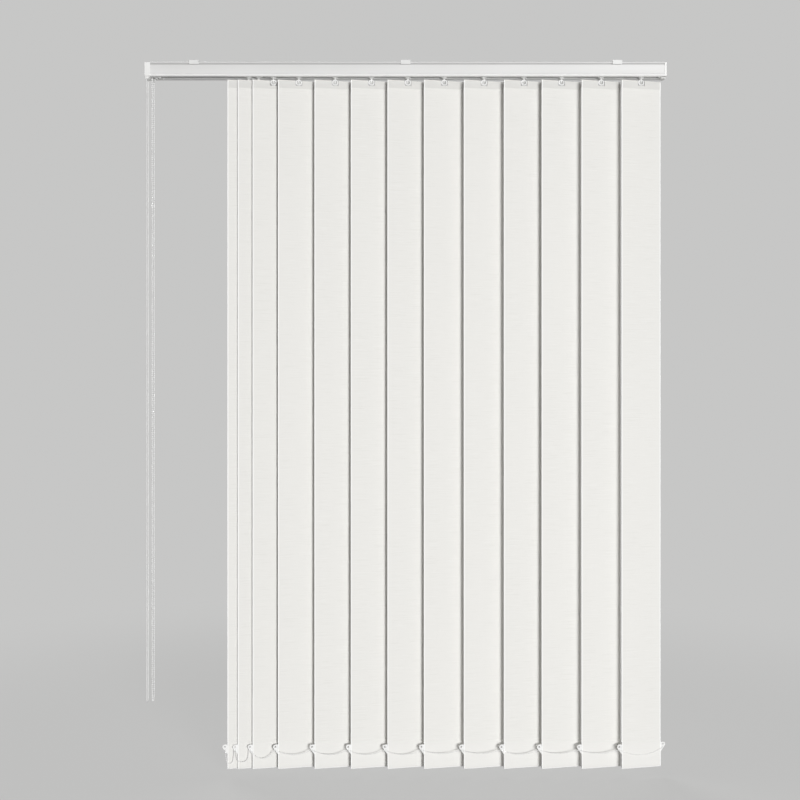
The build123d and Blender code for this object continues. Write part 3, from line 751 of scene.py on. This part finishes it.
DRAW_ROUTE = [
    (CORD_X, CORD_FRONT_Y, CORD_OUTLET),
    (CORD_X, CORD_FRONT_Y, ABOVE_CORD_U),
    (CORD_X, CORD_FRONT_Y, LOOP_Z),
    (CORD_X, CORD_BACK_Y, LOOP_Z),
    (CORD_X, CORD_BACK_Y, ABOVE_CORD_U),
    (CORD_X, CORD_BACK_Y, CORD_OUTLET),
]


def make_cord(name, route):
    path = route_line(name, route)
    tube = tube_mesh(name, filled_path(path, CORD_RING_STEP), CORD_DIAMETER / 2)
    piece = new_piece(name, tube, BRAID)
    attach(piece, "rail")
    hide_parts("draw_cord")


make_cord("draw_cord_loop", DRAW_ROUTE)
for label, strand_y in STRANDS.items():
    strand = [(x, strand_y, STRAND_Z) for x in STRAND_STOPS]
    make_cord(f"draw_cord_{label}_strand", strand)

# The control chain, over the wheel and down in a loop
CHAIN_X = -537.0 * MM
WHEEL_Y = 5.0 * MM
END_GAP = 0.05 * MM
CHAIN_FRONT_Y = -5.7 * MM
CHAIN_BACK_Y = 15.7 * MM
CHAIN_TOP = -6.3 * MM
BELOW_WHEEL = -36.2 * MM
ABOVE_CHAIN_U = LOOP_Z + (CHAIN_BACK_Y - CHAIN_FRONT_Y)

CONTROL_ROUTE = [
    (CHAIN_X, WHEEL_Y - END_GAP, CHAIN_TOP),
    (CHAIN_X, CHAIN_FRONT_Y, CHAIN_TOP),
    (CHAIN_X, CHAIN_FRONT_Y, BELOW_WHEEL),
    (CHAIN_X, CHAIN_FRONT_Y, ABOVE_CHAIN_U),
    (CHAIN_X, CHAIN_FRONT_Y, LOOP_Z),
    (CHAIN_X, CHAIN_BACK_Y, LOOP_Z),
    (CHAIN_X, CHAIN_BACK_Y, ABOVE_CHAIN_U),
    (CHAIN_X, CHAIN_BACK_Y, BELOW_WHEEL),
    (CHAIN_X, CHAIN_BACK_Y, CHAIN_TOP),
    (CHAIN_X, WHEEL_Y + END_GAP, CHAIN_TOP),
]

control_path = route_line("control_chain_line", CONTROL_ROUTE)
control = bead_chain("control_chain_beads", control_path, CONTROL_BEAD, CONTROL_BEAD_PITCH)
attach(control, "rail")
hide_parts("control_chain")

# Stabilising chains between the weights
SAG_BASE = 34.6 * MM
SAG_PER_PITCH = 0.33
NARROW_PITCH = 45.0 * MM
MIDDLE_SAG = 1.12
TAIL_SAG = 12.4 * MM
TAIL_OFFSET = 2.9 * MM


def span_route(pitch, sag):
    """Control points of a hanging span, from its left end."""
    if pitch < NARROW_PITCH:
        shares = [(0.0, 0.0), (0.04, 0.6), (0.2, 1.02)]
    else:
        shares = [(0.0, 0.0), (0.18, 0.75)]
    left = [(across * pitch, -down * sag) for across, down in shares]
    right = [(pitch - x, z) for x, z in reversed(left)]
    middle = [] if pitch < NARROW_PITCH else [(pitch / 2, -MIDDLE_SAG * sag)]
    return left + middle + right


def make_span(side, number, eye_x, y):
    """One span between two louvres: its ends at their weights' eyes."""
    x0 = axis_x(number) + eye_x + LINK_END
    x1 = axis_x(number + 1) + eye_x - LINK_END
    sag = SAG_BASE - SAG_PER_PITCH * (x1 - x0 + 2 * LINK_END)
    name = f"{side}_span_{number:02d}"
    route = [(x0 + x, y, LINK_Z + z) for x, z in span_route(x1 - x0, sag)]
    path = route_line(name, route)
    piece = bead_chain(name, path, SPAN_BEAD, SPAN_BEAD_PITCH)
    body = f"{side}_chain_{number:02d}"
    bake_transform(piece)
    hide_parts(body)


for number in range(1, LAST_LOUVRE):
    make_span("front", number, -EYE_X, -EYE_Y - LINK_OFFSET)
    make_span("back", number, EYE_X, EYE_Y + LINK_OFFSET)


def to_louvre(number):
    """Turns what is made about a louvre's own axis to its rest tilt, and moves it to its stem."""
    return Matrix.Translation((axis_x(number), 0, 0)) @ Matrix.Rotation(REST_TILT, 4, "Z")


def make_last_span():
    """The front chain's last span, across the face of the last louvre."""
    half = EYE_REACH - LINK_END
    flat = [Vector((x - half, -TAIL_OFFSET, LINK_Z + z)) for x, z in span_route(2 * half, TAIL_SAG)]
    move = to_louvre(LAST_LOUVRE)
    path = route_line("last_span", [move @ place for place in flat])
    piece = bead_chain("last_span", path, SPAN_BEAD, SPAN_BEAD_PITCH)
    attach(piece, "louvre_13")


make_last_span()


# The louvres

COLUMNS = 25
ROW = 26.0 * MM
POCKET_ROW = 7.0 * MM
HEM_FOLD = 0.32 * MM
RIPPLE = 0.15 * MM
RIPPLE_ACROSS = 8.0
RIPPLE_DOWN = 4.0
RIPPLE_SEED = 7.3
SLUB_SEED = 1.7
CLOTH_SHARP = math.radians(40)


def rows(z0, z1, y, step):
    """Even rows of a straight stretch, without its first point."""
    count = max(1, math.ceil(abs(z1 - z0) / step))
    return [(y, z0 + (z1 - z0) * i / count) for i in range(1, count + 1)]


def arc(x, z, radius, start, stop, steps):
    """Points round a centre; angles in degrees."""
    turns = [math.radians(start + (stop - start) * i / steps) for i in range(steps + 1)]
    return [(x + radius * math.cos(turn), z + radius * math.sin(turn)) for turn in turns]


def shoulder(y0, y1, z0, z1, steps=5):
    """A soft step in the cloth from one depth to another, without its first point."""
    shares = [i / steps for i in range(1, steps + 1)]
    return [(y0 + (y1 - y0) * t * t * (3 - 2 * t), z0 + (z1 - z0) * t) for t in shares]


def cloth_line():
    """The cloth on edge, as (Y, Z): up behind the top pocket, down, and up behind the bottom one."""
    upper = HANGER_THICKNESS / 2 + POCKET_GAP + FABRIC / 2
    lower = WEIGHT_THICKNESS / 2 + POCKET_GAP + FABRIC / 2
    weld = 0.7 * FABRIC
    top_line = LOUVRE_TOP - TOP_POCKET
    notch_z = LOUVRE_TOP - NOTCH_DEPTH
    low_line = LOUVRE_BOTTOM + BOTTOM_POCKET
    top_centre = LOUVRE_TOP - upper - FABRIC / 2
    hem_z = LOUVRE_BOTTOM + HEM
    hem_centre = LOUVRE_BOTTOM + HEM_FOLD + FABRIC / 2
    line = [(weld, top_line - TOP_SHOULDER), (upper, top_line + POCKET_TAPER)]
    line += rows(top_line + POCKET_TAPER, notch_z, upper, POCKET_ROW)
    line += rows(notch_z, top_centre, upper, POCKET_ROW)[:-1]
    line += arc(0.0, top_centre, upper, 0, 180, 6)
    line += rows(top_centre, notch_z, -upper, POCKET_ROW)
    line += rows(notch_z, top_line + POCKET_TAPER, -upper, POCKET_ROW)
    line += shoulder(-upper, 0.0, top_line + POCKET_TAPER, top_line - TOP_SHOULDER)
    line += rows(top_line - TOP_SHOULDER, low_line, 0.0, ROW)
    line += shoulder(0.0, -lower, low_line, low_line - POCKET_SHOULDER)
    line += rows(low_line - POCKET_SHOULDER, hem_z, -lower, POCKET_ROW)
    line += arc(0.0, hem_centre, HEM_FOLD, 200, 340, 4)
    line += [(lower, hem_z)]
    line += rows(hem_z, low_line - POCKET_TAPER, lower, POCKET_ROW)
    line += [(weld, low_line)]
    return line


def cloth_base(name):
    """The cloth's line with each point's run along it, and the whole cut length."""
    line = [Vector((0, y, z)) for y, z in cloth_line()]
    mesh = line_mesh(name, line)
    runs = [0.0]
    for before, after in zip(line, line[1:]):
        runs.append(runs[-1] + (after - before).length)
    stored = mesh.attributes.new("run", "FLOAT", "POINT")
    stored.data.foreach_set("value", runs)
    return mesh, runs[-1]


def louvre_tree():
    """A strip of cloth that follows a line seen on edge, cut away round the hook."""
    tree, nodes, start = new_tree(
        "louvre_cloth",
        [
            ("Width", "Float"),
            ("Columns", "Int"),
            ("Notch width", "Float"),
            ("Notch bottom", "Float"),
            ("Ripple", "Float"),
            ("Seed", "Float"),
            ("Tilt", "Float"),
            ("Axis", "Float"),
            ("Material", "Material"),
        ],
    )
    line = start["Geometry"]
    width = nodes.number(start["Width"])
    columns = nodes.number(start["Columns"])
    half_notch = nodes.number(start["Notch width"]) / 2.0
    domain = nodes.make("GeometryNodeAttributeDomainSize", values={0: line})
    count = nodes.number(domain.outputs["Point Count"])
    grid = nodes.make(
        "GeometryNodeMeshGrid",
        values={"Size X": 1.0, "Size Y": 1.0, "Vertices X": columns, "Vertices Y": count},
    ).outputs[0]
    index = nodes.number(nodes.make("GeometryNodeInputIndex").outputs[0])
    column = (index / count).floor()
    row = index - column * count
    step = width / (columns - 1.0)
    across = column * step - width / 2.0
    beside = abs(abs(across) - half_notch) < step * 0.5
    across = across + beside * (across.sign() * half_notch - across)
    position = nodes.make("GeometryNodeInputPosition").outputs[0]
    sampled = nodes.make(
        "GeometryNodeSampleIndex",
        {"data_type": "FLOAT_VECTOR"},
        {"Geometry": line, "Value": position, "Index": row},
    ).outputs[0]
    _, deep, high = nodes.parts(sampled)
    stored = nodes.make(
        "GeometryNodeInputNamedAttribute",
        {"data_type": "FLOAT"},
        {"Name": "run"},
    ).outputs[0]
    run = nodes.make(
        "GeometryNodeSampleIndex",
        {"data_type": "FLOAT"},
        {"Geometry": line, "Value": stored, "Index": row},
    ).outputs[0]
    seed = nodes.number(start["Seed"])
    field = nodes.vector(across * RIPPLE_ACROSS, high * RIPPLE_DOWN, seed * RIPPLE_SEED)
    wander = nodes.noise(field, 1.0, 2.0) - 0.5
    deep = deep + wander * nodes.number(start["Ripple"]) * 2.0
    lay = nodes.vector(across + width / 2.0, nodes.number(run) + seed * SLUB_SEED, 0.0)
    laid = nodes.make(
        "GeometryNodeStoreNamedAttribute",
        {"data_type": "FLOAT_VECTOR", "domain": "POINT"},
        {"Geometry": grid, "Name": "lay", "Value": lay},
    ).outputs[0]
    placed = nodes.make(
        "GeometryNodeSetPosition",
        values={"Geometry": laid, "Position": nodes.vector(across, deep, high)},
    ).outputs[0]
    x, _, z = nodes.parts(nodes.make("GeometryNodeInputPosition").outputs[0])
    cut = (abs(x) < half_notch) * (z > nodes.number(start["Notch bottom"]))
    open_top = nodes.make(
        "GeometryNodeDeleteGeometry",
        {"domain": "FACE"},
        {"Geometry": placed, "Selection": cut},
    ).outputs[0]
    named = nodes.make(
        "GeometryNodeInputNamedAttribute",
        {"data_type": "FLOAT_VECTOR"},
        {"Name": "lay"},
    ).outputs[0]
    unwrapped = nodes.make(
        "GeometryNodeStoreNamedAttribute",
        {"data_type": "FLOAT2", "domain": "CORNER"},
        {"Geometry": open_top, "Name": "UVMap", "Value": named},
    ).outputs[0]
    turned = nodes.make(
        "GeometryNodeTransform",
        values={
            "Geometry": unwrapped,
            "Translation": nodes.vector(start["Axis"], 0.0, 0.0),
            "Rotation": nodes.vector(0.0, 0.0, start["Tilt"]),
        },
    ).outputs[0]
    end_tree(nodes, turned, start["Material"])
    return tree


LOUVRE_TREE = louvre_tree()


def make_cloth(number):
    name = f"cloth_{number:02d}"
    base, cut_length = cloth_base(name)
    sizes = {
        "Width": LOUVRE_WIDTH,
        "Columns": COLUMNS,
        "Notch width": NOTCH_WIDTH,
        "Notch bottom": LOUVRE_TOP - NOTCH_DEPTH,
        "Ripple": RIPPLE,
        "Seed": float(number),
        "Tilt": REST_TILT,
        "Axis": axis_x(number),
        "Material": CLOTH,
    }
    cloth = grown(name, base, LOUVRE_TREE, sizes, thickness=FABRIC)
    cloth.data.set_sharp_from_angle(angle=CLOTH_SHARP)
    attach(cloth, f"louvre_{number:02d}")
    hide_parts(f"louvre_{number:02d}")
    return cloth, cut_length


def outline_plate(name, outlines, thickness, edge, upright=True):
    """A flat plate from closed outlines, holes among them, with softened edges."""
    data = bpy.data.curves.new(name, "CURVE")
    data.dimensions = "2D"
    data.fill_mode = "BOTH"
    data.extrude = thickness / 2 - edge
    data.bevel_depth = edge
    data.bevel_resolution = 1
    data.offset = -edge
    for outline in outlines:
        spline = data.splines.new("POLY")
        spline.points.add(len(outline) - 1)
        for point, (x, z) in zip(spline.points, outline):
            point.co = (x, z, 0.0, 1.0)
        spline.use_cyclic_u = True
    holder = bpy.data.objects.new(name, data)
    mesh = bpy.data.meshes.new_from_object(holder)
    bpy.data.objects.remove(holder)
    bpy.data.curves.remove(data)
    if upright:
        mesh.transform(Matrix.Rotation(math.radians(90), 4, "X"))
    return mesh


def rounded_box_outline(x0, x1, z0, z1, radius, steps=5):
    corners = [(x1 - radius, z0 + radius, -90), (x1 - radius, z1 - radius, 0)]
    corners += [(x0 + radius, z1 - radius, 90), (x0 + radius, z0 + radius, 180)]
    return [p for x, z, start in corners for p in arc(x, z, radius, start, start + 90, steps)]


def ring_mesh(name, rings, closed=False):
    """A skin over rings of points, with both ends capped unless it closes on itself."""
    shape = bmesh.new()
    loops = [[shape.verts.new(place) for place in ring] for ring in rings]
    pairs = list(zip(loops, loops[1:]))
    if closed:
        pairs.append((loops[-1], loops[0]))
    for low, high in pairs:
        for step in range(len(low)):
            after = (step + 1) % len(low)
            shape.faces.new((low[step], low[after], high[after], high[step]))
    if not closed:
        shape.faces.new(loops[0])
        shape.faces.new(loops[-1])
    bmesh.ops.recalc_face_normals(shape, faces=shape.faces)
    mesh = bpy.data.meshes.new(name)
    shape.to_mesh(mesh)
    shape.free()
    return mesh


def lathe(profile, sides=28):
    """A turned shape about the vertical axis, from (radius, height) points."""
    ways = [(math.cos(turn), math.sin(turn)) for turn in angles(sides)]
    rings = [[(radius * x, radius * y, z) for x, y in ways] for radius, z in profile]
    return ring_mesh("turned", rings)


def bent_rod(path, wide, deep, sides=10, closed=False):
    """A rod of oval section bent along a flat line in X and Z."""
    rings = []
    count = len(path)
    for index, (x, z) in enumerate(path):
        before = path[(index - 1) % count] if closed or index else path[0]
        after = path[(index + 1) % count] if closed or index < count - 1 else path[-1]
        along = Vector((after[0] - before[0], 0, after[1] - before[1])).normalized()
        out = Vector((along.z, 0, -along.x)) * wide / 2
        back = Vector((0, deep / 2, 0))
        centre = Vector((x, 0, z))
        rings.append([centre + out * math.cos(turn) + back * math.sin(turn) for turn in angles(sides)])
    return ring_mesh("bent", rings, closed)


MOULDED_SHARP = math.radians(38)


def joined(name, meshes, number, material):
    """Several meshes as one piece, turned and moved to its louvre."""
    shape = bmesh.new()
    for mesh in meshes:
        shape.from_mesh(mesh)
    bmesh.ops.transform(shape, matrix=to_louvre(number), verts=shape.verts)
    mesh = bpy.data.meshes.new(name)
    shape.to_mesh(mesh)
    shape.free()
    mesh.shade_smooth()
    mesh.set_sharp_from_angle(angle=MOULDED_SHARP)
    piece = new_piece(name, mesh, material)
    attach(piece, f"louvre_{number:02d}")
    return piece


# Hook sizes
HOOK_TOP = LOUVRE_TOP + 2.1 * MM
HOOK_HEIGHT = 12.0 * MM
HOOK_WIDTH = 13.4 * MM
HOOK_BAR = 2.4 * MM
HOOK_THICKNESS = 2.2 * MM
HOOK_CORNER = 4.3 * MM
COLLAR_TOP = -29.5 * MM
COLLAR_BOTTOM = -32.1 * MM
COLLAR_RADIUS = 6.2 * MM
CONE_BOTTOM = -35.0 * MM
STEM_RADIUS = 2.2 * MM
HEAD_LOW = -24.3 * MM
HEAD_HIGH = -22.3 * MM
HEAD_RADIUS = 3.8 * MM
HEAD_EDGE = 0.15 * MM
STEM_EDGE = 0.5 * MM
STEM_TEETH = 8
TOOTH_STEPS = 6
TOOTH_GAP = 0.5 * MM
FINGER_WIDTH = 1.8 * MM
FINGER_THICKNESS = 1.4 * MM
FINGER_REACH = 4.6 * MM


def toothed_head():
    """The small toothed wheel on top of the stem, inside the truck."""
    outline = []
    for step, turn in enumerate(angles(STEM_TEETH * TOOTH_STEPS)):
        radius = HEAD_RADIUS - (TOOTH_GAP if step % TOOTH_STEPS == 0 else 0.0)
        outline.append((radius * math.cos(turn), radius * math.sin(turn)))
    mesh = outline_plate("head", [outline], HEAD_HIGH - HEAD_LOW, HEAD_EDGE, upright=False)
    mesh.transform(Matrix.Translation((0, 0, (HEAD_LOW + HEAD_HIGH) / 2)))
    return mesh


def hook_meshes():
    """The stem with its collar and toothed head, and its ring with a finger inside."""
    spindle = [
        (STEM_RADIUS, HEAD_LOW + STEM_EDGE),
        (STEM_RADIUS, COLLAR_TOP),
        (COLLAR_RADIUS - STEM_EDGE, COLLAR_TOP),
        (COLLAR_RADIUS, COLLAR_TOP - STEM_EDGE),
        (COLLAR_RADIUS, COLLAR_BOTTOM + STEM_EDGE),
        (COLLAR_RADIUS - STEM_EDGE, COLLAR_BOTTOM - STEM_EDGE),
        (STEM_RADIUS + STEM_EDGE, CONE_BOTTOM + STEM_EDGE),
        (STEM_RADIUS, CONE_BOTTOM - STEM_EDGE),
        (STEM_RADIUS, HOOK_TOP - HOOK_BAR / 2),
    ]
    half = (HOOK_WIDTH - HOOK_BAR) / 2
    low = HOOK_TOP - HOOK_HEIGHT + HOOK_BAR / 2
    high = HOOK_TOP - HOOK_BAR / 2
    ring = rounded_box_outline(-half, half, low, high, HOOK_CORNER, steps=7)
    finger = [(0, high - FINGER_REACH * i / 4) for i in range(5)]
    return [
        lathe(spindle),
        toothed_head(),
        bent_rod(ring, HOOK_BAR, HOOK_THICKNESS, closed=True),
        bent_rod(finger, FINGER_WIDTH, FINGER_THICKNESS),
    ]


def make_hook(number):
    piece = joined(f"hook_{number:02d}", hook_meshes(), number, HOOK_PLASTIC)
    return piece


# Hanger sizes
STRIP_DROP = 2.0 * MM
STRIP_CORNER = 1.5 * MM
STRIP_EDGE = 0.12 * MM
TONGUE_CORNER = 0.15 * MM
TONGUE_OVERLAP = 0.05 * MM
TONGUE_HALF = 3.5 * MM
LIP_HALF = 2.6 * MM
LIP_HEIGHT = 1.2 * MM
BACK_HALF = 5.0 * MM
TONGUE_THICKNESS = 0.8 * MM
TONGUE_GAP = 0.2 * MM


def hanger_meshes():
    """The strip in the top pocket, and its tongue hooked through the stem's ring."""
    top = LOUVRE_TOP - STRIP_DROP
    bottom = LOUVRE_TOP - TOP_POCKET + POCKET_TAPER + POCKET_GAP
    ring_bottom = HOOK_TOP - HOOK_HEIGHT
    notch_z = ring_bottom - TONGUE_GAP
    half = HANGER_LENGTH / 2
    notch = NOTCH_WIDTH / 2
    corner = STRIP_CORNER
    strip = [(-half, bottom), (half, bottom), (half, top - corner), (half - corner, top)]
    strip += [(notch, top), (notch, notch_z), (-notch, notch_z), (-notch, top)]
    strip += [(-half + corner, top), (-half, top - corner)]
    meshes = [outline_plate("strip", [strip], HANGER_THICKNESS, STRIP_EDGE)]
    foot = LOUVRE_TOP - NOTCH_DEPTH + TONGUE_GAP
    lip = ring_bottom + HOOK_BAR + TONGUE_GAP
    back = HOOK_THICKNESS / 2 + TONGUE_GAP
    behind = back + TONGUE_THICKNESS
    inside = behind - TONGUE_OVERLAP
    blocks = [
        (2 * BACK_HALF, (back, behind), (foot, HOOK_TOP - HOOK_BAR)),
        (2 * TONGUE_HALF, (-HANGER_THICKNESS / 2, inside), (foot, notch_z)),
        (2 * LIP_HALF, (-HOOK_THICKNESS / 2, inside), (lip, lip + LIP_HEIGHT)),
    ]
    for width, (y0, y1), (z0, z1) in blocks:
        outline = rounded_box_outline(y0, y1, z0, z1, TONGUE_CORNER, 1)
        block = outline_plate("block", [outline], width, STRIP_EDGE)
        block.transform(Matrix.Rotation(math.radians(90), 4, "Z"))
        meshes.append(block)
    return meshes


def make_hanger(number):
    piece = joined(f"hanger_{number:02d}", hanger_meshes(), number, HANGER_SHADE_GREY)
    return piece


# Weight sizes
WEIGHT_CORNER = 3.0 * MM
WEIGHT_EDGE = 0.3 * MM
EAR_OVERLAP = 5.0 * MM
RIM_RADIUS = EYE_HOLE + 0.75 * MM
RIM_WIDTH = 0.9 * MM
RIM_THICKNESS = 2.3 * MM


def ear_outline(side):
    """The moulded ear past the cloth's edge: round about its eye, with a slanting lower edge."""
    inner = WEIGHT_LENGTH / 2 - EAR_OVERLAP
    outline = [(inner, EYE_Z + EYE_DISC)]
    outline += arc(EYE_REACH, EYE_Z, EYE_DISC, 90, -26, 12)
    outline += [(LOUVRE_WIDTH / 2, EYE_Z - EYE_FOOT), (inner, EYE_Z - EYE_FOOT)]
    return [(side * x, z) for x, z in outline]


def weight_meshes():
    """The plate in the bottom pocket, with an ear and a rimmed eye at each end."""
    low = LOUVRE_BOTTOM + WEIGHT_MARGIN
    half = WEIGHT_LENGTH / 2
    block = rounded_box_outline(-half, half, low, low + WEIGHT_HEIGHT, WEIGHT_CORNER)
    meshes = [outline_plate("plate", [block], WEIGHT_THICKNESS, WEIGHT_EDGE)]
    for side in (-1, 1):
        hole = arc(side * EYE_REACH, EYE_Z, EYE_HOLE, 0, 342, 19)
        meshes.append(outline_plate("ear", [ear_outline(side), hole], EYE_THICKNESS, WEIGHT_EDGE))
        rim = bent_rod(arc(0, 0, RIM_RADIUS, 0, 345, 23), RIM_WIDTH, RIM_THICKNESS, 8, closed=True)
        rim.transform(Matrix.Translation((side * EYE_REACH, 0, EYE_Z)))
        meshes.append(rim)
    return meshes


def make_weight(number):
    piece = joined(f"weight_{number:02d}", weight_meshes(), number, WEIGHT_PLASTIC)
    return piece


for number in LOUVRE_NUMBERS:
    cloth, cut_length = make_cloth(number)
    parts = [make_hook(number), make_hanger(number), make_weight(number)]


# The rail, its fittings and the trucks keep their own shapes


def paint_node(node, material):
    """Gives a part of the frame, kept as it is, its material."""
    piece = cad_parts[node]
    if not piece.material_slots:
        piece.data.materials.append(material)
    for place in piece.material_slots:
        place.link = "OBJECT"
        place.material = material


paint_node("headrail", PAINT)
paint_node("control_housing", HOUSING_PLASTIC)
paint_node("return_cap", HOUSING_PLASTIC)
paint_node("fixing_clips", CLIP_PLASTIC)
paint_node("tilt_rod", ALUMINIUM)
paint_node("chain_wheel", HOOK_PLASTIC)
paint_node("front_chain_end", BEADS)
paint_node("back_chain_end", BEADS)
for number in LOUVRE_NUMBERS:
    paint_node(f"truck_{number:02d}", TRUCK_PLASTIC)

bpy.context.scene.view_settings.view_transform = "Standard"
